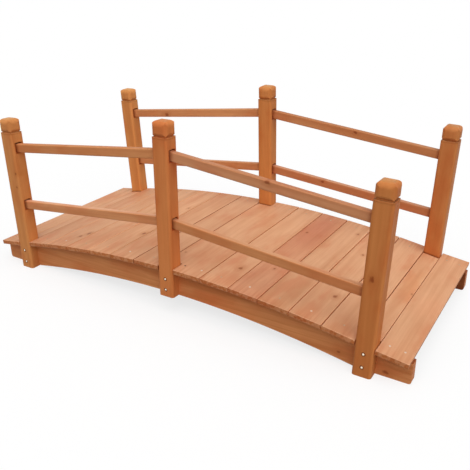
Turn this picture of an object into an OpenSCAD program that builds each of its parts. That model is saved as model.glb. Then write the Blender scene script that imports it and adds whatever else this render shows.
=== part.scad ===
// Low-arched wooden garden bridge: a planked deck on two arched bearers,
// with six posts and two straight rails in each bay of both sides.
// X runs along the bridge, Y across it, and Z = 0 is the ground.

/* [Deck] */
// Length of the deck boards, across the bridge
deck_width = 670; // [560:2:800]
// Width of a deck board, along the bridge
board_width = 96; // [80:1:112]
// Width of the last board at each end of the deck
end_board_width = 90; // [70:1:112]
// Thickness of the deck boards
board_thick = 15; // [12:0.5:20]
// Gap between boards, and between boards and posts
board_gap = 2; // [1:0.5:5]
// Rounding of a board's edges
board_round = 2; // [1:0.5:4]

/* [Bearers] */
// Radius of the arched top edge
arch_radius = 3460; // [2600:5:5000]
// Fall of the straight ends of the top edge, in degrees
end_slope = 8; // [4:0.5:10]
// Depth of the arched plank between its top and bottom edges
bearer_depth = 86; // [70:1:110]
// Thickness of the plank
bearer_thick = 27; // [20:1:36]
// Height of the plank's ends above the ground
bearer_end_height = 64; // [46:1:90]
// Length of plank that shows past the last deck board
bearer_overhang = 3; // [1:1:30]
// Rounding of the plank's lower corners at its ends
toe_round = 8; // [3:1:16]

/* [Posts] */
// Post section along the bridge
post_along = 54; // [44:1:64]
// Post section across the bridge
post_across = 50; // [44:1:64]
// Distance that the posts stand out past the ends of the boards
post_proud = 2; // [0:0.5:8]
// Thickness left at the foot, where the post laps over the bearer
foot_thick = 32; // [24:1:40]
// Height from the deck to the groove under the cap of a middle post
middle_rise = 403; // [320:1:520]
// Height from the deck to the groove under the cap of an end post
end_rise = 396; // [320:1:520]
// Height from the groove to the top of the cap
cap_height = 47; // [36:1:70]
// Rounding of the cap's top edges
cap_round = 18; // [6:1:20]
// Rounding of the cap's upright edges
cap_corner = 14; // [6:1:18]
// Rise of the cap's crowned top
cap_crown = 4; // [1:0.5:6]
// Rounding of the cap's lower edges, over the groove
cap_base_round = 10; // [8:0.5:14]
// Rounding of the post's edges, under the groove
neck_round = 3; // [1:0.5:5]
// Depth of the groove
groove_depth = 6; // [3:0.5:7]
// Gap in the groove between the two rounded edges
groove_gap = 2; // [0.5:0.5:4]
// Rounding of the post's long edges
post_round = 8; // [3:0.5:12]
// Outward lean of the end posts, in degrees
post_lean = 1.8; // [0:0.1:4]
// Lean of every post over the deck, in degrees
post_tilt = 1.2; // [0:0.1:3]
// Distance that a middle post stops short of the bearer's lower edge
foot_short = 3; // [0:1:20]

/* [Rails] */
// Height of a rail's section
rail_height = 30; // [24:1:42]
// Thickness of a rail's section
rail_thick = 18; // [12:1:24]
// Rounding of a rail's long edges
rail_round = 4; // [2:0.5:6]
// Length of rail let into a post
rail_insert = 15; // [8:1:18]
// Centre of the upper rail below the groove of a middle post
upper_drop_mid = 51; // [30:1:80]
// Centre of the upper rail below the groove of an end post
upper_drop_end = 55; // [30:1:80]
// Centre of the lower rail above the deck at a middle post
lower_rise_mid = 145; // [100:1:200]
// Centre of the lower rail above the deck at an end post
lower_rise_end = 139; // [100:1:200]
// Slack over and beside a rail in its mortise
mortise_slack = 4; // [0.5:0.5:6]

/* [Hidden] */
// Boards in one bay, counted between a middle post and an end post
bay_boards = 6;
// Clearance of a post's shoulder over the bearer, and of a rail's end
fit = 0.3;
// Reach of a cut past the face that it opens
past = 20;
// Lift of a cap's rounded corners, so that their arcs cross the crowned top and do not only touch it
lift = 0.02;
arc_fn = 720;
$fn = 48;

deck_tone = [0.84, 0.59, 0.44];
post_tone = [0.72, 0.43, 0.24];
rail_tone = [0.69, 0.44, 0.28];
bearer_tone = [0.60, 0.35, 0.20];

// Sides across the bridge and ends along it
front = -1;
back = 1;
left = -1;
middle = 0;
right = 1;

// Lengths along the arched top edge of the bearers, from mid-span
board_pitch = board_width + board_gap;
bay_start = post_along / 2 + board_gap;
post_pitch = 2 * bay_start + bay_boards * board_pitch - board_gap;
end_board_start = post_pitch + bay_start;
deck_end = end_board_start + end_board_width;

// Angle at the arch's centre of a length along the top edge
function arch_angle(length) = length / arch_radius * 180 / PI;

// Straight end of the top edge: its first point, seen from the arch's centre, and its run along X
ramp_start = post_pitch + (post_along + board_gap) / 2;
ramp_from = arch_radius * [sin(arch_angle(ramp_start)), cos(arch_angle(ramp_start))];
ramp_run = (deck_end - ramp_start) * cos(end_slope) + board_thick * sin(end_slope) + bearer_overhang;

// Overall places
bearer_half = ramp_from.x + ramp_run;
arch_z = bearer_end_height + ramp_run * tan(end_slope) - ramp_from.y;
crown_z = arch_z + arch_radius;
post_face = deck_width / 2 + post_proud;
bearer_face = post_face - foot_thick;
post_y = post_face - post_across / 2;
post_inner = post_face - post_across;
filler_length = 2 * (post_inner - board_gap);

// Heights along a post, from the middle of the deck's thickness
deck_top = board_thick / 2;
middle_groove = deck_top + middle_rise;
end_groove = deck_top + end_rise;
middle_foot = deck_top + bearer_depth - foot_short;
end_foot = deck_top + crown_z;

// Point on the axis of a middle or end post, a height above the deck's mid-thickness
function post_base(end) =
    let (radius = arch_radius + deck_top, angle = arch_angle(end * post_pitch))
    [radius * sin(angle), arch_z + radius * cos(angle)];
function post_point(end, height) =
    post_base(end) + height * cos(post_tilt) * [sin(end * post_lean), cos(end * post_lean)];

// Centre line of a rail: its ends on the axes of a middle and a right-hand post, and its place across the bridge
function rail_line(middle_height, end_height) = [
    post_point(middle, middle_height),
    post_point(right, end_height),
    post_y - (middle_height + end_height) / 2 * sin(post_tilt)
];
upper = rail_line(middle_groove - upper_drop_mid, end_groove - upper_drop_end);
lower = rail_line(deck_top + lower_rise_mid, deck_top + lower_rise_end);

// Flat outline with rounded corners, centred
module rounded_rect(width, height, radius) {
    square([width - 2 * radius, height], center = true);
    square([width, height - 2 * radius], center = true);
    for (x = [-1, 1], y = [-1, 1])
        translate([x * (width / 2 - radius), y * (height / 2 - radius)])
            circle(radius);
}

// Puts a shape drawn for the back, right-hand quarter on its own side and end
module to_quarter(side, end) {
    mirror([0, side < 0 ? 1 : 0, 0])
        mirror([end < 0 ? 1 : 0, 0, 0])
            children();
}

// Turns an outline drawn in X and Z into a plank between two distances across the bridge
module plank(from, to) {
    translate([0, to, 0])
        rotate([90, 0, 0])
            linear_extrude(to - from)
                children();
}

// Sets a shape down on the arched top edge, a length along it from mid-span
module on_arch(length) {
    translate([0, 0, arch_z])
        rotate([0, arch_angle(length), 0])
            translate([0, 0, arch_radius])
                children();
}

// Space under the arched top edge, raised by a clearance
module under_arch(raise, half, floor_z) {
    intersection() {
        translate([0, arch_z])
            circle(arch_radius + raise, $fn = arc_fn);
        translate([-half, floor_z])
            square([2 * half, crown_z + past - floor_z]);
    }
}

// Space under the straight ends of the top edge, carried on a little way inside the arch
module under_ramps() {
    inner_x = ramp_from.x - past;
    inner_z = bearer_end_height + (ramp_run + past) * tan(end_slope);
    polygon([
        [-bearer_half, 0], [bearer_half, 0], [bearer_half, bearer_end_height],
        [inner_x, inner_z], [-inner_x, inner_z], [-bearer_half, bearer_end_height]
    ]);
}

// Corner of plank that the rounding at its toe takes off
module toe_corner() {
    difference() {
        translate([0, -past])
            square(toe_round + past);
        translate([0, toe_round])
            circle(toe_round);
    }
}

module bearer(side) {
    color(bearer_tone)
        to_quarter(side, right)
            plank(bearer_face - bearer_thick, bearer_face)
                difference() {
                    union() {
                        under_arch(0, ramp_from.x + past, 0);
                        under_ramps();
                    }
                    translate([0, arch_z])
                        circle(arch_radius - bearer_depth, $fn = arc_fn);
                    for (end = [left, right])
                        mirror([end < 0 ? 1 : 0, 0])
                            translate([bearer_half - toe_round, 0])
                                toe_corner();
                }
}

// Board across the bridge, with its underside at the height of the origin
module flat_board(width, length) {
    color(deck_tone)
        translate([0, 0, board_thick / 2])
            intersection() {
                plank(-length / 2, length / 2)
                    rounded_rect(width, board_thick, board_round);
                rotate([0, 0, 90])
                    plank(-width / 2, width / 2)
                        rounded_rect(length, board_thick, board_round);
            }
}

// Board laid on the bearers, with its middle a length along the arch
module board(length_along, width, length = deck_width) {
    on_arch(length_along)
        flat_board(width, length);
}

module bay_board(end, number) {
    board(end * (bay_start + (number - 1) * board_pitch + board_width / 2), board_width);
}

// Short board that fits between the two posts at one end
module filler_board(end) {
    board(end * post_pitch, post_along, filler_length);
}

// Last board, on the straight end of the bearers
module end_board(end) {
    to_quarter(back, end)
        translate([ramp_from.x, 0, arch_z + ramp_from.y])
            rotate([0, end_slope, 0])
                translate([end_board_start - ramp_start + end_board_width / 2, 0, 0])
                    flat_board(end_board_width, deck_width);
}

// Wide board at mid-span, notched round the two middle posts
module middle_board() {
    width = post_along + board_pitch;
    notch_y = post_inner - board_gap;
    color(deck_tone)
        difference() {
            board(board_pitch / 2, width);
            for (side = [front, back])
                to_quarter(side, right)
                    translate([-bay_start, notch_y, crown_z - past])
                        cube([2 * bay_start, deck_width, board_thick + 2 * past]);
        }
}

// Side view of a shaft up to a cap with a crowned top, whose arc runs into the rounded corners
module cap_outline(width, foot, groove_z) {
    half = width / 2;
    post_top = groove_z + cap_height;
    crown_radius = (half * half + cap_crown * cap_crown) / (2 * cap_crown);
    crown_centre = post_top - crown_radius;
    corner_x = half - cap_round;
    corner_z = crown_centre + sqrt(pow(crown_radius - cap_round, 2) - corner_x * corner_x) + lift;
    crown_half = corner_x * crown_radius / (crown_radius - cap_round);
    translate([-half, -foot])
        square([width, foot + corner_z]);
    for (x = [-1, 1])
        translate([x * corner_x, corner_z])
            circle(cap_round);
    intersection() {
        translate([0, crown_centre])
            circle(crown_radius, $fn = arc_fn);
        translate([-crown_half, corner_z - cap_round])
            square([2 * crown_half, cap_height]);
    }
}

// Groove in the right-hand edge of a post, between its own rounded edge and that of its cap
module groove() {
    difference() {
        translate([-groove_depth, 0])
            square([groove_depth + past, groove_gap + cap_base_round]);
        translate([-cap_base_round, groove_gap + cap_base_round])
            circle(cap_base_round);
    }
    difference() {
        translate([-neck_round, -neck_round])
            square([neck_round + past, neck_round]);
        translate([-neck_round, -neck_round])
            circle(neck_round);
    }
}

// Side view of a post, with the groove under its cap
module post_outline(width, foot, groove_z) {
    difference() {
        cap_outline(width, foot, groove_z);
        for (x = [0, 1])
            mirror([x, 0])
                translate([width / 2, groove_z])
                    groove();
    }
}

// Whole post before its joints are cut, standing on its axis
module post_blank(foot, groove_z) {
    intersection() {
        union() {
            translate([0, 0, -foot])
                linear_extrude(foot + groove_z)
                    rounded_rect(post_along, post_across, post_round);
            translate([0, 0, groove_z])
                linear_extrude(cap_height)
                    rounded_rect(post_along, post_across, cap_corner);
        }
        plank(-post_across, post_across)
            post_outline(post_along, foot, groove_z);
        rotate([0, 0, 90])
            plank(-post_along, post_along)
                post_outline(post_across, foot, groove_z);
    }
}

// Bar along a rail's centre line, with so much of each end left off
module rail_bar(line, cut_back, thick, height, raise = 0) {
    run = line[1] - line[0];
    translate([line[0].x, line[2], line[0].y])
        rotate([0, -atan2(run.y, run.x), 0])
            translate([cut_back, 0, raise])
                rotate([90, 0, 90])
                    linear_extrude(norm(run) - 2 * cut_back)
                        rounded_rect(thick, height, rail_round);
}

// Mortises of one bay: the rails with slack over and beside them
module mortises() {
    for (line = [upper, lower])
        rail_bar(
            line, post_along / 2 - rail_insert - fit,
            rail_thick + 2 * mortise_slack, rail_height + mortise_slack, mortise_slack / 2
        );
}

// Post with a foot that laps over the bearer and mortises for its rails
module post(side, end) {
    place = post_base(abs(end));
    foot = end == middle ? middle_foot : end_foot;
    groove_z = end == middle ? middle_groove : end_groove;
    color(post_tone)
        to_quarter(side, end)
            difference() {
                translate([place.x, post_y, place.y])
                    rotate([post_tilt, abs(end) * post_lean, 0])
                        post_blank(foot, groove_z);
                plank(post_inner - past, bearer_face)
                    under_arch(fit, bearer_half + past, -past);
                translate([place.x - 2 * past - post_along / 2, post_inner - past, -crown_z])
                    cube([post_along + 4 * past, post_across + 2 * past, crown_z]);
                mortises();
                if (end == middle)
                    mirror([1, 0, 0])
                        mortises();
            }
}

module rail(side, end, line) {
    color(rail_tone)
        to_quarter(side, end)
            rail_bar(line, post_along / 2 - rail_insert, rail_thick, rail_height);
}

bearer(front);  // bearer_front
bearer(back);  // bearer_back
end_board(left);  // board_end_left
filler_board(left);  // board_filler_left
bay_board(left, 6);  // board_left_6
bay_board(left, 5);  // board_left_5
bay_board(left, 4);  // board_left_4
bay_board(left, 3);  // board_left_3
bay_board(left, 2);  // board_left_2
bay_board(left, 1);  // board_left_1
middle_board();  // board_middle
bay_board(right, 2);  // board_right_1
bay_board(right, 3);  // board_right_2
bay_board(right, 4);  // board_right_3
bay_board(right, 5);  // board_right_4
bay_board(right, 6);  // board_right_5
filler_board(right);  // board_filler_right
end_board(right);  // board_end_right
post(front, left);  // post_front_left
post(front, middle);  // post_front_middle
post(front, right);  // post_front_right
post(back, left);  // post_back_left
post(back, middle);  // post_back_middle
post(back, right);  // post_back_right
rail(front, left, upper);  // rail_front_left_upper
rail(front, left, lower);  // rail_front_left_lower
rail(front, right, upper);  // rail_front_right_upper
rail(front, right, lower);  // rail_front_right_lower
rail(back, left, upper);  // rail_back_left_upper
rail(back, left, lower);  // rail_back_left_lower
rail(back, right, upper);  // rail_back_right_upper
rail(back, right, lower);  // rail_back_right_lower
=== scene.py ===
import math
import random

import bmesh
import bpy
from mathutils import Euler, Matrix, Vector


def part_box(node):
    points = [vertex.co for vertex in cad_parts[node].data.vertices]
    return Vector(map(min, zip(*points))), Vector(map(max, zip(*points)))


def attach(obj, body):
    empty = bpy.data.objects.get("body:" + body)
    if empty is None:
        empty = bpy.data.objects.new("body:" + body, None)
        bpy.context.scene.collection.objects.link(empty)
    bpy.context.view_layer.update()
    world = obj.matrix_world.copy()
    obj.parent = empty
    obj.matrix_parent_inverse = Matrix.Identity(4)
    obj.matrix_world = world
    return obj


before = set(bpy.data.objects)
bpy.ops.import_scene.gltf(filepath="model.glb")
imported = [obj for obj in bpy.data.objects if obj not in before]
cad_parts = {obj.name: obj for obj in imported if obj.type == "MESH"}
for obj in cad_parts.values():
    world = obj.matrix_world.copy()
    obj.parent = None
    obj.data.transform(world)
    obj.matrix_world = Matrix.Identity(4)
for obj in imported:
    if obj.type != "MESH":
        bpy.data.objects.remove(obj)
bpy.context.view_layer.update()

# Directions along, across and up from the bridge
ALONG_BRIDGE = Vector((1, 0, 0))
ACROSS_BRIDGE = Vector((0, 1, 0))
UP = Vector((0, 0, 1))

# Camera as the photograph was taken, in metres and degrees, with its lens and sensor in millimetres
CAMERA_PLACE = (1.0586, -1.6319, 0.9950)
CAMERA_YAW = 31.87
CAMERA_PITCH = -23.76
CAMERA_ROLL = -0.735
CAMERA_LENS = 46.67
CAMERA_SENSOR = 36.0

# Light levels: a white surface that faces up renders at about 1
SKY_AT_HORIZON = 0.15
SKY_OVERHEAD = 0.62
LAMP_LEVEL = 0.54
LAMP_DIRECTION = Vector((0.38, -0.42, 0.82)).normalized()
LAMP_SPREAD = math.radians(80)
FLOOR_SIZE = 60.0
FLOOR_SHADE = 0.25


def srgb(red, green, blue):
    """Colour given on a 0 to 255 scale, as the linear colour that a socket holds"""
    shares = [value / 255 for value in (red, green, blue)]
    linear = [share / 12.92 if share <= 0.04045 else ((share + 0.055) / 1.055) ** 2.4 for share in shares]
    return (*linear, 1.0)


def scaled(colour, factors):
    """Colour with each of its channels multiplied"""
    return (*[channel * factor for channel, factor in zip(colour, factors)], 1.0)


# Stained softwood: a tone for each kind of piece, its shades for grain and ends, and painted light and shade
# for seams, covered faces and rail tops
WOOD_TONES = {
    "board": srgb(221, 165, 125),
    "post": srgb(217, 140, 78),
    "rail": srgb(215, 147, 98),
    "bearer": srgb(226, 147, 91),
}
GRAIN_SHADE = (0.80, 0.66, 0.55)
RED_SHADE = (0.93, 0.76, 0.70)
PALE_SHADE = (1.05, 1.09, 1.10)
END_GRAIN_SHADES = {
    "board": (0.80, 0.52, 0.29),
    # The posts' end grain is their cap tops, made paler and greyer as painted sheen
    "post": (0.93, 1.22, 1.60),
    "rail": (0.85, 0.76, 0.70),
    "bearer": (0.85, 0.78, 0.72),
}
END_GRAIN_LEAST = 0.6
# Painted shade and painted light in the seams: each board's long edges are darkened or lightened to set how
# dark its seam shows
PAINTED_SEAM_SHADE = (1.0, 0.84, 0.70)
PAINTED_SEAM_SHADOW = (0.52, 0.30, 0.19)
PAINTED_SEAM_LIGHT = (1.15, 1.02, 0.88)
SEAMS_WITH_PAINTED_SHADOW = ("board_left_1", "board_left_2", "board_filler_left")
SEAMS_WITH_PAINTED_LIGHT = ("board_right_3", "board_right_4", "board_filler_right", "board_left_4", "board_left_6")
# Painted shade on the bearers' faces under the deck: their inner faces, tops and undersides
UNDER_DECK_PAINTED_SHADE = (0.42, 0.30, 0.24)
# Painted light on the rails' top faces: painted shade on the upper rails, painted sheen on the lower rails
RAIL_TOP_PAINTED_SHEEN_AND_SHADE = {"upper": (0.80, 0.82, 0.90), "lower": (1.09, 1.40, 1.95)}

# How squarely a face looks one way, as a cosine: the least that counts, and where a shade starts and is full
FACING_LEAST = 0.9
END_FACE = (0.75, 0.95)
COVERED_FACE = (0.75, 0.95)
TOP_FACE = (0.60, 0.90)
SEAM_FACE = (0.60, 0.92)
INNER_FACE = (0.40, 0.70)
WORN_EDGE = (0.97, 0.80)

# Stain at the ends of boards, and painted shade at the ends of rails, in the cuts in the posts, below the
# caps' grooves and at the posts' feet: shades, and distances in metres
BOARD_END_SHADE = (0.93, 0.84, 0.79)
BOARD_END_REACH = 0.070
# Painted shade in and round the mortises, where the gaps lie in shadow
MORTISE_PAINTED_SHADE = (0.58, 0.34, 0.22)
# Where that fades into the post, along it and across the bridge
MORTISE_FADES = ((0.020, 0.024), (0.0165, 0.0205), (0.0135, 0.0180))
# Painted shade below the caps' grooves, in place of the light the rounded neck catches
GROOVE_PAINTED_SHADE = (0.70, 0.64, 0.60)
GROOVE_DROP = 0.047
GROOVE_REACH = 0.009
GROOVE_EDGE = 0.001
# Painted contact shadow at the posts' feet, where they meet the deck
FOOT_PAINTED_SHADOW = (0.58, 0.46, 0.40)
FOOT_REACH = 0.007
# Painted shade on the rails next to the mortises
RAIL_END_PAINTED_SHADE = (0.72, 0.56, 0.48)
RAIL_INSERT = 0.015
RAIL_END_REACH = 0.014

# Patterns in the wood: cells a metre across, along and through a piece, and the detail in them
PATTERNS = {
    "Fibre": ((700, 14, 700), 2.0),
    "Streak": ((110, 2.4, 110), 3.0),
    "Band": ((32, 1.3, 32), 2.0),
    "Mottle": ((14, 5.5, 14), 3.0),
}
SWAY_PATTERN = ((9, 1.6, 9), 2.0)
UNEVEN_PATTERN = ((60, 3, 60), 1.0)
RAGGED_PATTERN = ((160, 90, 160), 2.0)
NOISE_ROUGHNESS = 0.55

# Growth rings: their sway in metres, their taper along the trunk, and the dark part of each ring
SWAY_REACH = (0.022, 0.0, 0.022)
RING_TAPER = 0.015
RING_RISE = (0.15, 0.85)
RING_FALL = (0.88, 1.0)

# Ranges from which each piece draws its own part of a trunk, in metres, and its own lightness
PITH_ASIDE = (-0.05, 0.05)
PITH_DEPTH = (0.03, 0.08)
PATTERN_SHIFT = (0, 40)
RING_WIDTH = (0.0030, 0.0050)
LIGHTNESS = (0.97, 1.03)

# Darker grain in layers: the span of each pattern that darkens the wood, its share, and a strength by kind
GRAIN_LAYERS = {
    "Ring": (0.0, 1.0, 0.16),
    "Band": (0.42, 0.68, 0.65),
    "Streak": (0.45, 0.72, 0.32),
    "Fibre": (0.45, 0.75, 0.12),
}
GRAIN_STRENGTHS = {"board": 0.75, "post": 0.8, "rail": 1.0, "bearer": 1.5}

# Worn edges, on the boards also painted light that thins the seams' shade: a paler shade, and the share of
# it on each kind of piece and where least is worn
WORN_AND_LIT_EDGE_SHADE = (1.12, 1.22, 1.30)
WORN_AND_LIT_EDGE_SHARES = {"board": 0.8, "post": 0.15, "rail": 0.3, "bearer": 0.2}
WORN_LEAST = 0.2

# Spans of a pattern over which the stain and the wear change
PALE_MOTTLE = (0.30, 0.50)
RED_MOTTLE = (0.48, 0.68)
WORN_MOTTLE = (0.35, 0.65)
END_GRAIN_STREAKS = (0.40, 0.60)
BOARD_END_STREAKS = (0.40, 0.62)

# Finish of the wood: roughness from one fibre to the next, and bumps in metres
FIBRE_ROUGHNESS = (0.3, 0.7, 0.50, 0.66)
BUMP_STRENGTH = 0.15
BUMP_HEIGHT = 0.0005
WOOD_SPECULAR = 0.15

# Pieces that took the stain unlike the rest of their kind
TONE_SHIFTS = {
    "board_right_2": (0.93, 0.83, 0.83),
    "board_left_3": (1.06, 1.08, 1.09),
    "board_left_4": (1.09, 1.14, 1.16),
    "post_front_right": (0.92, 0.86, 0.82),
    "post_front_middle": (1.06, 0.94, 0.96),
    "post_front_left": (1.06, 1.12, 1.20),
    "post_back_right": (0.92, 0.90, 0.94),
    "post_back_left": (1.10, 1.20, 1.28),
    "rail_back_left_upper": (1.10, 1.15, 1.15),
    "rail_front_left_upper": (1.10, 1.05, 0.96),
    "rail_front_left_lower": (1.15, 1.16, 1.20),
    "rail_front_right_lower": (1.00, 0.93, 0.85),
    "rail_front_right_upper": (1.08, 1.12, 1.28),
    "rail_back_right_lower": (0.92, 0.86, 0.90),
}

# Broad patches of stain: a place on the piece, a reach along the grain in metres and a shade
PATCHES = {
    "board_right_2": [((0.270, 0.170, 0.14), 0.22, (0.86, 0.72, 0.70))],
    "board_middle": [((0.056, -0.181, 0.15), 0.10, (0.96, 0.88, 0.84))],
    "board_right_1": [((0.161, -0.281, 0.15), 0.08, (1.05, 1.07, 1.08))],
    "board_filler_right": [((0.660, 0.047, 0.09), 0.14, (1.05, 1.06, 1.02))],
    "board_end_right": [((0.724, -0.036, 0.08), 0.12, (1.05, 1.02, 1.02))],
    "bearer_front": [((0.178, -0.305, 0.062), 0.14, (1.05, 0.92, 0.86))],
}

# Form of a patch: its width as a share of its reach, and in reaches its ragged edge and where it fades
PATCH_WIDTH = 0.4
PATCH_RAGGED = (0.3, 0.7, -0.2, 0.2)
PATCH_FADE = (0.2, 1.1)

# Knots: their shade, how much of it shows, and in radii their ragged edge and where they fade
KNOT_SHADE = (0.42, 0.22, 0.14)
KNOT_STAIN_SHARE = 0.6
KNOT_CORE_SHARE = 0.85
KNOT_SHAPE = (1.0, 0.7, 0.0)
KNOT_RAGGED = (0.2, 0.8, -0.25, 0.25)
KNOT_STAIN_FADE = (0.6, 3.2)
KNOT_CORE_FADE = (0.35, 1.1)
KNOT_PUSH = (-0.85, 0.0, 0.0)

# Knots that show in the photograph: a place on the piece and a radius, in metres
KNOTS = {
    "board_left_5": [((-0.449, -0.243, 0.13), 0.0060), ((-0.436, -0.213, 0.13), 0.0078)],
    "board_left_3": [((-0.235, -0.148, 0.14), 0.0078), ((-0.243, 0.129, 0.14), 0.0042)],
    "board_middle": [((-0.011, -0.212, 0.15), 0.0026)],
    "board_right_1": [((0.195, -0.211, 0.15), 0.0076)],
    "board_right_2": [((0.280, -0.152, 0.14), 0.0042), ((0.248, 0.144, 0.14), 0.0050)],
    "board_right_3": [((0.395, 0.247, 0.13), 0.0042)],
    "board_right_4": [((0.492, -0.179, 0.12), 0.0076), ((0.464, 0.115, 0.12), 0.0042)],
    "board_filler_right": [((0.664, -0.001, 0.09), 0.0030)],
    "post_front_right": [((0.645, -0.332, 0.288), 0.0075)],
    "post_front_left": [((-0.631, -0.332, 0.355), 0.0042), ((-0.634, -0.332, 0.306), 0.0030)],
    "bearer_front": [((0.560, -0.305, 0.031), 0.0050), ((0.695, -0.305, 0.014), 0.0072)],
    "rail_front_right_upper": [((0.339, -0.313, 0.4825), 0.0070)],
    "rail_back_left_upper": [((-0.455, 0.296, 0.454), 0.0080)],
    "rail_back_right_upper": [((0.342, 0.296, 0.479), 0.0055)],
    "rail_back_right_lower": [((0.230, 0.300, 0.285), 0.0050)],
}

# Bolts through the feet of the posts: heights above the ground, and sizes, in metres
BOLT_HEIGHTS = {"left": (0.067, 0.023), "middle": (0.120, 0.084), "right": (0.071, 0.030)}
BOLT_HEAD_RADIUS = 0.0033
BOLT_HEAD_RISE = 0.0024
# Dark rings under the bolt heads: painted shade and painted dark reflection round each head
SHADOW_RING_RADIUS = 0.0058
SHADOW_RING_THICK = 0.0008
WASHER_RADIUS = 0.0090
WASHER_THICK = 0.0016
NUT_RADIUS = 0.0075
NUT_THICK = 0.0050
THREAD_RADIUS = 0.0030
THREAD_OUT = 0.0030
BEARER_TO_FOOT = 0.03

# Screws through the boards into the bearers: places across a board from its middle, and sizes, in metres
SCREW_PLACES = {"board_end": (-0.021, 0.021), "board_middle": (-0.005, 0.056)}
SCREW_PLACE_OTHER = (0.0,)
BRIGHT_SCREWS = (
    "board_left_5", "board_left_2", "board_middle", "board_right_2", "board_right_4", "board_end_right",
)
DARK_SCREW = ("board_middle", "front", 0)
SCREW_RADIUS = 0.0032
SCREW_RISE = 0.0005
SCREW_TOP_SHARE = 0.88
CROSS_REACH = 0.0018
CROSS_WIDTH = 0.0008
CROSS_FLOOR_RISE = 0.0001
CROSS_FLOOR_SHARE = 0.9

# Turned forms: sides, steps up a dome, straight and eased edges as a share of the height, sharp angle
ROUND_SIDES = 24
THREAD_SIDES = 16
NUT_SIDES = 6
DOME_STEPS = 5
DOME_EDGE_SHARE = 0.2
PLATE_EASE_SHARE = 0.25
SHARP_ANGLE = math.radians(35)

# Plated steel: a colour and a roughness for each finish, with duller patches
METALS = {
    "zinc": (srgb(236, 226, 208), 0.30),
    "bright_zinc": (srgb(232, 210, 190), 0.45),
    "dull_zinc": (srgb(206, 172, 140), 0.45),
    # Dark metal for the rings of painted shade under the bolt heads
    "shadow_ring_steel": (srgb(132, 78, 42), 0.55),
    "dark_steel": (srgb(104, 66, 42), 0.55),
}
DULL_SHADE = (0.72, 0.68, 0.62)
DULL_PATTERN = ((420, 420, 420), 3.0)
DULL_SPAN = (0.40, 0.75)
DULL_ROUGHNESS_SPAN = (0.3, 0.7)
DULL_ROUGHNESS = 0.2


def put(tree, kind, sockets=None, **settings):
    """Adds a node, with each socket given a value or a link from another node's output"""
    node = tree.nodes.new(kind)
    for name, value in settings.items():
        setattr(node, name, value)
    for socket, value in (sockets or {}).items():
        if isinstance(value, bpy.types.NodeSocket):
            tree.links.new(value, node.inputs[socket])
        else:
            node.inputs[socket].default_value = value
    return node


def number(tree, operation, first, *others):
    """Numbers joined one after another by an operation"""
    for other in others or (0.0,):
        first = put(tree, "ShaderNodeMath", {0: first, 1: other}, operation=operation).outputs[0]
    return first


def vector(tree, operation, first, second=(0, 0, 0)):
    """Two vectors joined by an operation"""
    node = put(tree, "ShaderNodeVectorMath", {0: first, 1: second}, operation=operation)
    return node.outputs["Value" if operation in ("LENGTH", "DOT_PRODUCT") else "Vector"]


def ramp(tree, value, low, high, to_low=0.0, to_high=1.0, smooth=True):
    """Value eased from one range to another"""
    sockets = {"Value": value, "From Min": low, "From Max": high, "To Min": to_low, "To Max": to_high}
    kind = "SMOOTHSTEP" if smooth else "LINEAR"
    return put(tree, "ShaderNodeMapRange", sockets, interpolation_type=kind).outputs[0]


def mixed(tree, share, first, second, blend="MIX"):
    """Colour with a share of a second one mixed in"""
    node = put(tree, "ShaderNodeMix", {0: share, 6: first, 7: second}, data_type="RGBA", blend_type=blend)
    return node.outputs[2]


def noise(tree, place, cells, detail):
    """Noise with a number of cells a metre in each direction"""
    sockets = {"Vector": vector(tree, "MULTIPLY", place, cells), "Scale": 1.0}
    sockets.update({"Detail": detail, "Roughness": NOISE_ROUGHNESS})
    return put(tree, "ShaderNodeTexNoise", sockets).outputs


def along_piece(tree, place):
    """Distance along the grain, from a place in a piece's own directions"""
    return put(tree, "ShaderNodeSeparateXYZ", {0: place}).outputs["Y"]


def new_group(name, inputs, outputs):
    """Empty node group with the sockets given as name and type"""
    tree = bpy.data.node_groups.new(name, "ShaderNodeTree")
    for socket, kind in inputs.items():
        tree.interface.new_socket(socket, in_out="INPUT", socket_type="NodeSocket" + kind)
    for socket, kind in outputs.items():
        tree.interface.new_socket(socket, in_out="OUTPUT", socket_type="NodeSocket" + kind)
    return tree, tree.nodes.new("NodeGroupInput").outputs, tree.nodes.new("NodeGroupOutput")


def make_knot_group():
    """Knot: pushes the grain aside round a centre, and gives its dark core and the stain round it"""
    tree, given, result = new_group(
        "knot",
        {"Vector": "Vector", "Centre": "Vector", "Radius": "Float"},
        {"Vector": "Vector", "Core": "Float", "Stain": "Float"},
    )
    ragged = noise(tree, given["Vector"], *RAGGED_PATTERN)["Fac"]
    away = vector(tree, "SUBTRACT", given["Vector"], given["Centre"])
    distance = vector(tree, "LENGTH", vector(tree, "MULTIPLY", away, KNOT_SHAPE))
    distance = number(tree, "DIVIDE", distance, given["Radius"])
    distance = number(tree, "ADD", distance, ramp(tree, ragged, *KNOT_RAGGED))
    stain = ramp(tree, distance, *KNOT_STAIN_FADE, 1.0, 0.0)
    push = vector(tree, "MULTIPLY", vector(tree, "MULTIPLY", away, KNOT_PUSH), stain)
    tree.links.new(vector(tree, "ADD", given["Vector"], push), result.inputs["Vector"])
    tree.links.new(ramp(tree, distance, *KNOT_CORE_FADE, 1.0, 0.0), result.inputs["Core"])
    tree.links.new(stain, result.inputs["Stain"])
    return tree


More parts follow.
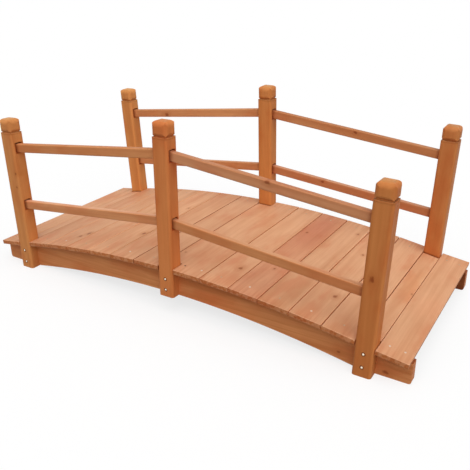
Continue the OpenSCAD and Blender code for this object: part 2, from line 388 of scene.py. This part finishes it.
def make_grain_group():
    """Softwood: growth rings round a pith that lies along Y, with fibres, streaks and a mottled stain"""
    tree, given, result = new_group(
        "grain",
        {"Vector": "Vector", "Pith": "Vector", "Shift": "Vector", "Ring": "Float"},
        {"Ring": "Float", "Fibre": "Float", "Streak": "Float", "Band": "Float", "Mottle": "Float"},
    )
    place = vector(tree, "ADD", given["Vector"], given["Shift"])
    sway = vector(tree, "SUBTRACT", noise(tree, place, *SWAY_PATTERN)["Color"], (0.5, 0.5, 0.5))
    section = vector(tree, "SUBTRACT", given["Vector"], given["Pith"])
    section = vector(tree, "ADD", section, vector(tree, "MULTIPLY", sway, SWAY_REACH))
    radius = vector(tree, "LENGTH", vector(tree, "MULTIPLY", section, (1, 0, 1)))
    taper = number(tree, "MULTIPLY", along_piece(tree, given["Vector"]), RING_TAPER)
    count = number(tree, "DIVIDE", number(tree, "ADD", radius, taper), given["Ring"])
    uneven = noise(tree, place, *UNEVEN_PATTERN)["Fac"]
    part = number(tree, "FRACT", number(tree, "ADD", count, uneven))
    ring = number(tree, "MULTIPLY", ramp(tree, part, *RING_RISE), ramp(tree, part, *RING_FALL, 1.0, 0.0))
    tree.links.new(ring, result.inputs["Ring"])
    for name, pattern in PATTERNS.items():
        tree.links.new(noise(tree, place, *pattern)["Fac"], result.inputs[name])
    return tree


KNOT_GROUP = make_knot_group()
GRAIN_GROUP = make_grain_group()


def facing(node, toward):
    """Mean normal of the faces of a node that look one way"""
    faces = [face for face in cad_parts[node].data.polygons if face.normal.dot(toward) > FACING_LEAST]
    total = sum((face.normal * face.area for face in faces), Vector())
    return total.normalized()


def kind_of(node):
    """Kind of piece, the first word of its name"""
    return node.split("_")[0]


def centre_of(node):
    """Middle of a node's box"""
    low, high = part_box(node)
    return (low + high) / 2


def reach(node, direction):
    """Distance from a node's middle to its farthest point one way"""
    centre = centre_of(node)
    return max((corner.co - centre).dot(direction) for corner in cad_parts[node].data.vertices)


def grain_axes(node):
    """Directions across the grain, along it and through the piece"""
    kind = kind_of(node)
    if kind == "board":
        through = facing(node, UP)
        along = ACROSS_BRIDGE
        across = along.cross(through)
    elif kind == "post":
        across = facing(node, ALONG_BRIDGE)
        along = facing(node, -ACROSS_BRIDGE).cross(across).normalized()
        through = across.cross(along)
    elif kind == "rail":
        across = facing(node, UP)
        through = ACROSS_BRIDGE
        along = through.cross(across)
    else:
        across, along, through = UP, ALONG_BRIDGE, ACROSS_BRIDGE
    return across, along, through


def shaded(tree, share, colour, shade):
    """Colour that goes over to a darker or paler shade of itself"""
    return mixed(tree, share, colour, (*shade, 1.0), "MULTIPLY")


def local(node, spot):
    """Spot in a piece's own directions, measured from its middle"""
    return Matrix(grain_axes(node)) @ (Vector(spot) - centre_of(node))


def local_place(tree, node):
    """Place on a piece in its own directions, measured from its middle"""
    turn = Matrix(grain_axes(node)).transposed().to_euler()
    coords = put(tree, "ShaderNodeTexCoord").outputs["Object"]
    mapping = {"Vector": coords, "Location": centre_of(node), "Rotation": turn}
    return put(tree, "ShaderNodeMapping", mapping, vector_type="TEXTURE").outputs[0]


def add_knots(tree, node, place):
    """Place pushed aside round each knot of a piece, and the outputs of its knots"""
    knots = []
    for spot, radius in KNOTS.get(node, []):
        across, along, _ = local(node, spot)
        sockets = {"Vector": place, "Centre": (across, along, 0), "Radius": radius}
        knots.append(put(tree, "ShaderNodeGroup", sockets, node_tree=KNOT_GROUP).outputs)
        place = knots[-1]["Vector"]
    return place, knots


def add_grain(tree, place, draw):
    """Grain of a piece cut from its own part of a trunk"""
    pith = (draw.uniform(*PITH_ASIDE), 0, draw.choice((-1, 1)) * draw.uniform(*PITH_DEPTH))
    sockets = {"Vector": place, "Pith": pith}
    sockets["Shift"] = [draw.uniform(*PATTERN_SHIFT) for _ in range(3)]
    sockets["Ring"] = draw.uniform(*RING_WIDTH)
    return put(tree, "ShaderNodeGroup", sockets, node_tree=GRAIN_GROUP).outputs


def grain_colour(tree, grain, pale, dark, strength):
    """Stain over the grain: a broad mottle under layers of darker grain"""
    colour = mixed(tree, ramp(tree, grain["Mottle"], *PALE_MOTTLE), scaled(pale, PALE_SHADE), pale)
    colour = mixed(tree, ramp(tree, grain["Mottle"], *RED_MOTTLE), colour, scaled(pale, RED_SHADE))
    for layer, (low, high, share) in GRAIN_LAYERS.items():
        colour = mixed(tree, ramp(tree, grain[layer], low, high, 0.0, share * strength), colour, dark)
    return colour


def patch_colour(tree, node, place, grain, colour):
    """Broad patches where a piece took more or less of the stain"""
    for spot, extent, shade in PATCHES.get(node, []):
        across, along, _ = local(node, spot)
        away = vector(tree, "SUBTRACT", place, (across, along, 0))
        away = vector(tree, "MULTIPLY", away, (1 / PATCH_WIDTH, 1, 0))
        distance = number(tree, "DIVIDE", vector(tree, "LENGTH", away), extent)
        distance = number(tree, "ADD", distance, ramp(tree, grain["Band"], *PATCH_RAGGED))
        colour = shaded(tree, ramp(tree, distance, *PATCH_FADE, 1.0, 0.0), colour, shade)
    return colour


def seam_painted_light(board):
    """Painted shade or painted light on a board's long edges, which sets how dark the seams between boards
    show
    """
    if board in SEAMS_WITH_PAINTED_SHADOW:
        return PAINTED_SEAM_SHADOW
    return PAINTED_SEAM_LIGHT if board in SEAMS_WITH_PAINTED_LIGHT else PAINTED_SEAM_SHADE


def face_colour(tree, node, colour, grain, pale):
    """Colour of each face: stained end grain, painted shade on covered faces, painted sheen and shade on
    rail tops, worn edges that are also painted light, and painted shade and light in the seams
    """
    kind = kind_of(node)
    normal = put(tree, "ShaderNodeNewGeometry").outputs["Normal"]
    turns = [vector(tree, "DOT_PRODUCT", normal, axis) for axis in grain_axes(node)]
    looks = [number(tree, "ABSOLUTE", turn) for turn in turns]
    patchy = ramp(tree, grain["Streak"], *END_GRAIN_STREAKS, END_GRAIN_LEAST, 1.0)
    end = number(tree, "MULTIPLY", ramp(tree, looks[1], *END_FACE), patchy)
    colour = shaded(tree, end, colour, END_GRAIN_SHADES[kind])
    if kind == "bearer":
        # Painted shade: the bearers' inner faces, tops and undersides are darkened as if in shade under the
        # deck
        inward = ACROSS_BRIDGE if centre_of(node).y < 0 else -ACROSS_BRIDGE
        covered = number(tree, "MAXIMUM", vector(tree, "DOT_PRODUCT", normal, inward), looks[0])
        colour = shaded(tree, ramp(tree, covered, *COVERED_FACE), colour, UNDER_DECK_PAINTED_SHADE)
    # Painted light on the rails' tops: darker on the upper rails as painted shade, paler on the lower rails
    # as painted sheen
    if kind == "rail":
        top = ramp(tree, vector(tree, "DOT_PRODUCT", normal, UP), *TOP_FACE)
        colour = shaded(tree, top, colour, RAIL_TOP_PAINTED_SHEEN_AND_SHADE[node.split("_")[-1]])
    # Paler rounded edges: wear, and on the boards also painted light that lightens the seams
    worn_and_lit = ramp(tree, number(tree, "MAXIMUM", *looks), *WORN_EDGE)
    uneven = ramp(tree, grain["Mottle"], *WORN_MOTTLE, WORN_LEAST, 1.0)
    worn_and_lit = number(tree, "MULTIPLY", worn_and_lit, uneven, WORN_AND_LIT_EDGE_SHARES[kind])
    colour = mixed(tree, worn_and_lit, colour, scaled(pale, WORN_AND_LIT_EDGE_SHADE))
    # Painted shade or painted light on the boards' long edges, in the seams
    if kind == "board":
        colour = shaded(tree, ramp(tree, looks[0], *SEAM_FACE), colour, seam_painted_light(node))
    return colour


def rail_mouths(post):
    """Places where the rails go into a post"""
    low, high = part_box(post)
    side = post.split("_")[1]
    rails = [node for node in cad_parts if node.startswith("rail_" + side)]
    mouths = []
    for rail in rails:
        along = grain_axes(rail)[1]
        for way in (along, -along):
            mouth = centre_of(rail) + way * (reach(rail, way) - RAIL_INSERT)
            if low.x - RAIL_INSERT < mouth.x < high.x + RAIL_INSERT:
                mouths.append(mouth)
    return mouths


def mortise_painted_shade(tree, post, place, colour):
    """Painted shade in and round the mortises of a post, where the gaps round the rails lie in shadow"""
    for mouth in rail_mouths(post):
        away = vector(tree, "ABSOLUTE", vector(tree, "SUBTRACT", place, local(post, mouth)))
        distances = put(tree, "ShaderNodeSeparateXYZ", {0: away}).outputs
        shares = [ramp(tree, distance, *fade, 1.0, 0.0) for distance, fade in zip(distances, MORTISE_FADES)]
        colour = shaded(tree, number(tree, "MULTIPLY", *shares), colour, MORTISE_PAINTED_SHADE)
    return colour


def groove_painted_shade(tree, post, place, colour):
    """Painted shade on a post just below the groove of its cap, which dulls the light that its rounded edge
    catches
    """
    along = along_piece(tree, place)
    groove = reach(post, grain_axes(post)[1]) - GROOVE_DROP
    below = ramp(tree, along, groove - GROOVE_REACH, groove)
    share = number(tree, "MULTIPLY", below, ramp(tree, along, groove, groove + GROOVE_EDGE, 1.0, 0.0))
    return shaded(tree, share, colour, GROOVE_PAINTED_SHADE)


def foot_painted_shadow(tree, post, colour):
    """Painted contact shadow on a post where its inner face meets the deck"""
    _, side, end = post.split("_")
    board = "board_middle" if end == "middle" else "board_filler_" + end
    inward = ACROSS_BRIDGE if side == "front" else -ACROSS_BRIDGE
    upward = facing(board, UP)
    deck = centre_of(board).dot(upward) + reach(board, upward)
    coords = put(tree, "ShaderNodeTexCoord").outputs["Object"]
    low = ramp(tree, vector(tree, "DOT_PRODUCT", coords, upward), deck, deck + FOOT_REACH, 1.0, 0.0)
    normal = put(tree, "ShaderNodeNewGeometry").outputs["Normal"]
    inner = ramp(tree, vector(tree, "DOT_PRODUCT", normal, inward), *INNER_FACE)
    return shaded(tree, number(tree, "MULTIPLY", inner, low), colour, FOOT_PAINTED_SHADOW)


def board_end_colour(tree, board, place, grain, colour):
    """Weathered streaks that run in from the ends of a board"""
    along = along_piece(tree, vector(tree, "ABSOLUTE", place))
    end = reach(board, ACROSS_BRIDGE)
    share = ramp(tree, along, end - BOARD_END_REACH, end)
    share = number(tree, "MULTIPLY", share, ramp(tree, grain["Streak"], *BOARD_END_STREAKS))
    return shaded(tree, share, colour, BOARD_END_SHADE)


def rail_end_painted_shade(tree, rail, place, colour):
    """Painted shade where a rail goes into its posts, darker towards the mortise"""
    along = along_piece(tree, vector(tree, "ABSOLUTE", place))
    mouth = reach(rail, grain_axes(rail)[1]) - RAIL_INSERT
    return shaded(tree, ramp(tree, along, mouth - RAIL_END_REACH, mouth), colour, RAIL_END_PAINTED_SHADE)


def knot_colour(tree, knots, colour, pale):
    """Dark cores of the knots, with a stain round them"""
    if not knots:
        return colour
    stain = number(tree, "MAXIMUM", *[knot["Stain"] for knot in knots])
    core = number(tree, "MAXIMUM", *[knot["Core"] for knot in knots])
    stain_share = number(tree, "MULTIPLY", stain, KNOT_STAIN_SHARE)
    core_share = number(tree, "MULTIPLY", core, KNOT_CORE_SHARE)
    colour = mixed(tree, stain_share, colour, scaled(pale, GRAIN_SHADE))
    return mixed(tree, core_share, colour, scaled(pale, KNOT_SHADE))


def wood_colour(tree, node, place, grain, pale):
    """Colour of a piece, from its grain to the stain and painted light on its faces, and the painted shade
    at its joints
    """
    kind = kind_of(node)
    colour = grain_colour(tree, grain, pale, scaled(pale, GRAIN_SHADE), GRAIN_STRENGTHS[kind])
    colour = patch_colour(tree, node, place, grain, colour)
    colour = face_colour(tree, node, colour, grain, pale)
    if kind == "board":
        colour = board_end_colour(tree, node, place, grain, colour)
    if kind == "rail":
        colour = rail_end_painted_shade(tree, node, place, colour)
    if kind == "post":
        colour = mortise_painted_shade(tree, node, place, colour)
        colour = groove_painted_shade(tree, node, place, colour)
        colour = foot_painted_shadow(tree, node, colour)
    return colour


def wood_material(node):
    """Stained wood with its grain along the piece, its knots, worn edges and end grain"""
    draw = random.Random(node)
    material = bpy.data.materials.new("wood_" + node)
    material.use_nodes = True
    tree = material.node_tree
    own_place = local_place(tree, node)
    place, knots = add_knots(tree, node, own_place)
    grain = add_grain(tree, place, draw)
    lightness = draw.uniform(*LIGHTNESS)
    shifts = [lightness * shift for shift in TONE_SHIFTS.get(node, (1, 1, 1))]
    pale = scaled(WOOD_TONES[kind_of(node)], shifts)
    colour = wood_colour(tree, node, own_place, grain, pale)
    bump = {"Strength": BUMP_STRENGTH, "Distance": BUMP_HEIGHT}
    bump["Height"] = number(tree, "ADD", grain["Ring"], grain["Fibre"])
    shader = tree.nodes["Principled BSDF"]
    tree.links.new(knot_colour(tree, knots, colour, pale), shader.inputs["Base Color"])
    tree.links.new(ramp(tree, grain["Fibre"], *FIBRE_ROUGHNESS), shader.inputs["Roughness"])
    tree.links.new(put(tree, "ShaderNodeBump", bump).outputs[0], shader.inputs["Normal"])
    shader.inputs["Specular IOR Level"].default_value = WOOD_SPECULAR
    return material


def dress_wood():
    """Gives each CAD piece its own wood"""
    for node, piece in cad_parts.items():
        piece.data.materials.clear()
        piece.data.materials.append(wood_material(node))


def metal_material(name):
    """Plated steel with a patchy sheen"""
    colour, roughness = METALS[name]
    material = bpy.data.materials.new(name)
    material.use_nodes = True
    tree = material.node_tree
    shader = tree.nodes["Principled BSDF"]
    coords = put(tree, "ShaderNodeTexCoord").outputs["Object"]
    patches = noise(tree, coords, *DULL_PATTERN)["Fac"]
    shade = mixed(tree, ramp(tree, patches, *DULL_SPAN), colour, scaled(colour, DULL_SHADE))
    sheen = ramp(tree, patches, *DULL_ROUGHNESS_SPAN, roughness, roughness + DULL_ROUGHNESS)
    tree.links.new(shade, shader.inputs["Base Color"])
    tree.links.new(sheen, shader.inputs["Roughness"])
    shader.inputs["Metallic"].default_value = 1.0
    return material


def add_turned(mesh, profile, segments, place, axis):
    """Adds a solid turned from a profile of radius and height points, the height measured along an axis"""
    turn = axis.to_track_quat("Z", "Y").to_matrix()
    rings = []
    for radius, height in profile:
        angles = [math.tau * step / segments for step in range(segments)] if radius > 0 else [0.0]
        points = [Vector((radius * math.cos(angle), radius * math.sin(angle), height)) for angle in angles]
        rings.append([mesh.verts.new(place + turn @ point) for point in points])
    for lower, upper in zip(rings, rings[1:]):
        for step in range(segments):
            after = step + 1
            corners = (lower[step % len(lower)], lower[after % len(lower)],
                       upper[after % len(upper)], upper[step % len(upper)])
            mesh.faces.new(dict.fromkeys(corners))


def dome(radius, rise):
    """Profile of a domed head over a short straight edge"""
    edge = rise * DOME_EDGE_SHARE
    turns = [math.pi / 2 * step / DOME_STEPS for step in range(DOME_STEPS)]
    arc = [(radius * math.cos(turn), edge + (rise - edge) * math.sin(turn)) for turn in turns]
    return [(radius, 0.0), *arc, (0.0, rise)]


def plate(radius, thick, from_height=0.0):
    """Profile of a disc with an eased edge"""
    ease = thick * PLATE_EASE_SHARE
    top = from_height + thick
    return [(radius, from_height), (radius, top - ease), (radius - ease, top), (0.0, top)]


def cross_outline():
    """Corners of the cross recess in a screw, in order round it"""
    half = CROSS_WIDTH / 2
    arm = [Vector((half, half, 0)), Vector((CROSS_REACH, half, 0)), Vector((CROSS_REACH, -half, 0))]
    quarters = [Matrix.Rotation(math.pi / 2 * step, 3, "Z") for step in range(4)]
    return [quarter @ corner for quarter in reversed(quarters) for corner in arm]


def circle_outline():
    """Points of a circle of radius 1, in order round it"""
    turns = [math.tau * step / ROUND_SIDES for step in range(ROUND_SIDES)]
    return [Vector((math.cos(angle), math.sin(angle), 0)) for angle in turns]


def add_wall(mesh, first, second):
    """Adds the strip of faces between two loops of as many corners"""
    for step in range(len(first)):
        after = (step + 1) % len(first)
        mesh.faces.new((first[step], first[after], second[after], second[step]))


def fill_between(mesh, loops):
    """Fills the flat area between an outer and an inner loop"""
    outline = []
    for corners in loops:
        for pair in zip(corners, corners[1:] + corners[:1]):
            outline.append(mesh.edges.get(pair) or mesh.edges.new(pair))
    bmesh.ops.triangle_fill(mesh, use_beauty=True, edges=outline)


def add_screw(mesh, place, axis):
    """Adds a flat screw head with a cross recess"""
    turn = axis.to_track_quat("Z", "Y").to_matrix()

    def loop(points, scale, height):
        return [mesh.verts.new(place + turn @ (point * scale + UP * height)) for point in points]

    rim = loop(circle_outline(), SCREW_RADIUS, 0.0)
    top = loop(circle_outline(), SCREW_RADIUS * SCREW_TOP_SHARE, SCREW_RISE)
    edge = loop(cross_outline(), 1.0, SCREW_RISE)
    floor = loop(cross_outline(), CROSS_FLOOR_SHARE, CROSS_FLOOR_RISE)
    add_wall(mesh, rim, top)
    add_wall(mesh, edge, floor)
    mesh.faces.new(floor)
    fill_between(mesh, (top, edge))


def finish_piece(mesh, name, material):
    """Turns a mesh into a piece of the bridge"""
    bmesh.ops.recalc_face_normals(mesh, faces=mesh.faces)
    data = bpy.data.meshes.new(name)
    mesh.to_mesh(data)
    mesh.free()
    data.materials.append(material)
    data.shade_smooth()
    data.set_sharp_from_angle(angle=SHARP_ANGLE)
    piece = bpy.data.objects.new(name, data)
    bpy.context.collection.objects.link(piece)
    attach(piece, "root")


def surface(node, place, direction):
    """Point and normal of the face that a line through a place comes out of"""
    _, point, normal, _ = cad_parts[node].ray_cast(place + direction, -direction)
    return point, normal


def add_bolts(node, metal, shadow_metal):
    """Domed bolts through a post's foot on dark rings of painted shade, with washers and nuts inside the
    bearer
    """
    _, side, end = node.split("_")
    outward = ACROSS_BRIDGE if side == "back" else -ACROSS_BRIDGE
    bearer = "bearer_" + side
    bolts = bmesh.new()
    shadow_rings = bmesh.new()
    for height in BOLT_HEIGHTS[end]:
        inside = centre_of(bearer) + outward * BEARER_TO_FOOT
        inside.x = centre_of(node).x
        inside.z = height
        sides = [surface(node, inside, way)[0].x for way in (ALONG_BRIDGE, -ALONG_BRIDGE)]
        inside.x = sum(sides) / 2
        outer = surface(node, inside, outward)
        inner = surface(bearer, inside, -outward)
        nut_top = WASHER_THICK + NUT_THICK
        add_turned(bolts, dome(BOLT_HEAD_RADIUS, BOLT_HEAD_RISE), ROUND_SIDES, *outer)
        add_turned(shadow_rings, plate(SHADOW_RING_RADIUS, SHADOW_RING_THICK), ROUND_SIDES, *outer)
        add_turned(bolts, plate(WASHER_RADIUS, WASHER_THICK), ROUND_SIDES, *inner)
        add_turned(bolts, plate(NUT_RADIUS, NUT_THICK, WASHER_THICK), NUT_SIDES, *inner)
        add_turned(bolts, plate(THREAD_RADIUS, THREAD_OUT, nut_top), THREAD_SIDES, *inner)
    finish_piece(bolts, node.replace("post", "bolts"), metal)
    finish_piece(shadow_rings, node.replace("post", "shadow_rings"), shadow_metal)


def screw_finish(board, side, row):
    """Finish of a screw: the front row is bright on some boards, and one screw there is dark"""
    if (board, side, row) == DARK_SCREW:
        return "dark"
    return "bright" if side == "front" and board in BRIGHT_SCREWS else "dull"


def add_screws(metals):
    """Screws in a row over each bearer, on the boards' own top faces, as one piece for each finish"""
    meshes = {finish: bmesh.new() for finish in metals}
    boards = [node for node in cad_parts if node.startswith("board") and "filler" not in node]
    for board in boards:
        across, _, through = grain_axes(board)
        kind = "_".join(board.split("_")[:2])
        for side in ("front", "back"):
            for row, offset in enumerate(SCREW_PLACES.get(kind, SCREW_PLACE_OTHER)):
                place = centre_of(board) + across * offset + through * reach(board, through)
                place.y = centre_of("bearer_" + side).y
                add_screw(meshes[screw_finish(board, side, row)], place, through)
    for finish, mesh in meshes.items():
        finish_piece(mesh, "screws_" + finish, metals[finish])


def add_fixings():
    """Bolts at the posts and screws in the boards, each in its own metal"""
    metals = {name: metal_material(name) for name in METALS}
    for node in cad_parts:
        if kind_of(node) == "post":
            add_bolts(node, metals["zinc"], metals["shadow_ring_steel"])
    add_screws({"bright": metals["bright_zinc"], "dull": metals["dull_zinc"], "dark": metals["dark_steel"]})


def white_for_camera(tree):
    """1 where the camera, a reflection or a clear surface looks, and 0 for the light itself"""
    path = put(tree, "ShaderNodeLightPath").outputs
    rays = ("Is Camera Ray", "Is Glossy Ray", "Is Transmission Ray")
    return number(tree, "MAXIMUM", *[path[ray] for ray in rays])


def make_world():
    """Sky that is brighter overhead, and white to the camera and to reflections"""
    world = bpy.data.worlds.new("studio")
    world.use_nodes = True
    tree = world.node_tree
    direction = put(tree, "ShaderNodeTexCoord").outputs["Generated"]
    height = put(tree, "ShaderNodeSeparateXYZ", {0: direction}).outputs["Z"]
    sky = ramp(tree, height, 0.0, 1.0, SKY_AT_HORIZON, SKY_OVERHEAD, smooth=False)
    level = number(tree, "MAXIMUM", sky, white_for_camera(tree))
    background = tree.nodes["Background"]
    background.inputs["Color"].default_value = (1, 1, 1, 1)
    tree.links.new(level, background.inputs["Strength"])
    bpy.context.scene.world = world


def make_lamp():
    """Broad soft lamp from the front and above"""
    lamp = bpy.data.lights.new("soft_lamp", "SUN")
    lamp.energy = LAMP_LEVEL * math.pi / LAMP_DIRECTION.z
    lamp.angle = LAMP_SPREAD
    holder = bpy.data.objects.new("soft_lamp", lamp)
    holder.rotation_euler = LAMP_DIRECTION.to_track_quat("Z", "Y").to_euler()
    bpy.context.collection.objects.link(holder)


def make_floor():
    """Pale floor that takes the shadow, with an added white that only the camera and reflections see"""
    material = bpy.data.materials.new("pale_floor")
    material.use_nodes = True
    tree = material.node_tree
    shader = tree.nodes["Principled BSDF"]
    shader.inputs["Base Color"].default_value = (FLOOR_SHADE, FLOOR_SHADE, FLOOR_SHADE, 1)
    shader.inputs["Roughness"].default_value = 1.0
    shader.inputs["Specular IOR Level"].default_value = 0.0
    shader.inputs["Emission Color"].default_value = (1, 1, 1, 1)
    glow = ramp(tree, white_for_camera(tree), 0.0, 1.0, 0.0, 1.0 - FLOOR_SHADE, smooth=False)
    tree.links.new(glow, shader.inputs["Emission Strength"])
    half = FLOOR_SIZE / 2
    mesh = bpy.data.meshes.new("floor")
    corners = [(-half, -half, 0), (half, -half, 0), (half, half, 0), (-half, half, 0)]
    mesh.from_pydata(corners, [], [(0, 1, 2, 3)])
    mesh.materials.append(material)
    floor = bpy.data.objects.new("floor", mesh)
    bpy.context.collection.objects.link(floor)


def make_camera():
    """Camera at the photograph's place and angle"""
    data = bpy.data.cameras.new("camera")
    data.lens = CAMERA_LENS
    data.sensor_width = CAMERA_SENSOR
    camera = bpy.data.objects.new("camera", data)
    turn = Euler((math.radians(90 + CAMERA_PITCH), 0, math.radians(CAMERA_YAW))).to_matrix()
    turn = turn @ Matrix.Rotation(math.radians(CAMERA_ROLL), 3, "Z")
    camera.matrix_world = Matrix.Translation(CAMERA_PLACE) @ turn.to_4x4()
    bpy.context.collection.objects.link(camera)
    bpy.context.scene.camera = camera


make_camera()
make_world()
make_lamp()
make_floor()
dress_wood()
add_fixings()
bpy.context.scene.view_settings.view_transform = "Standard"
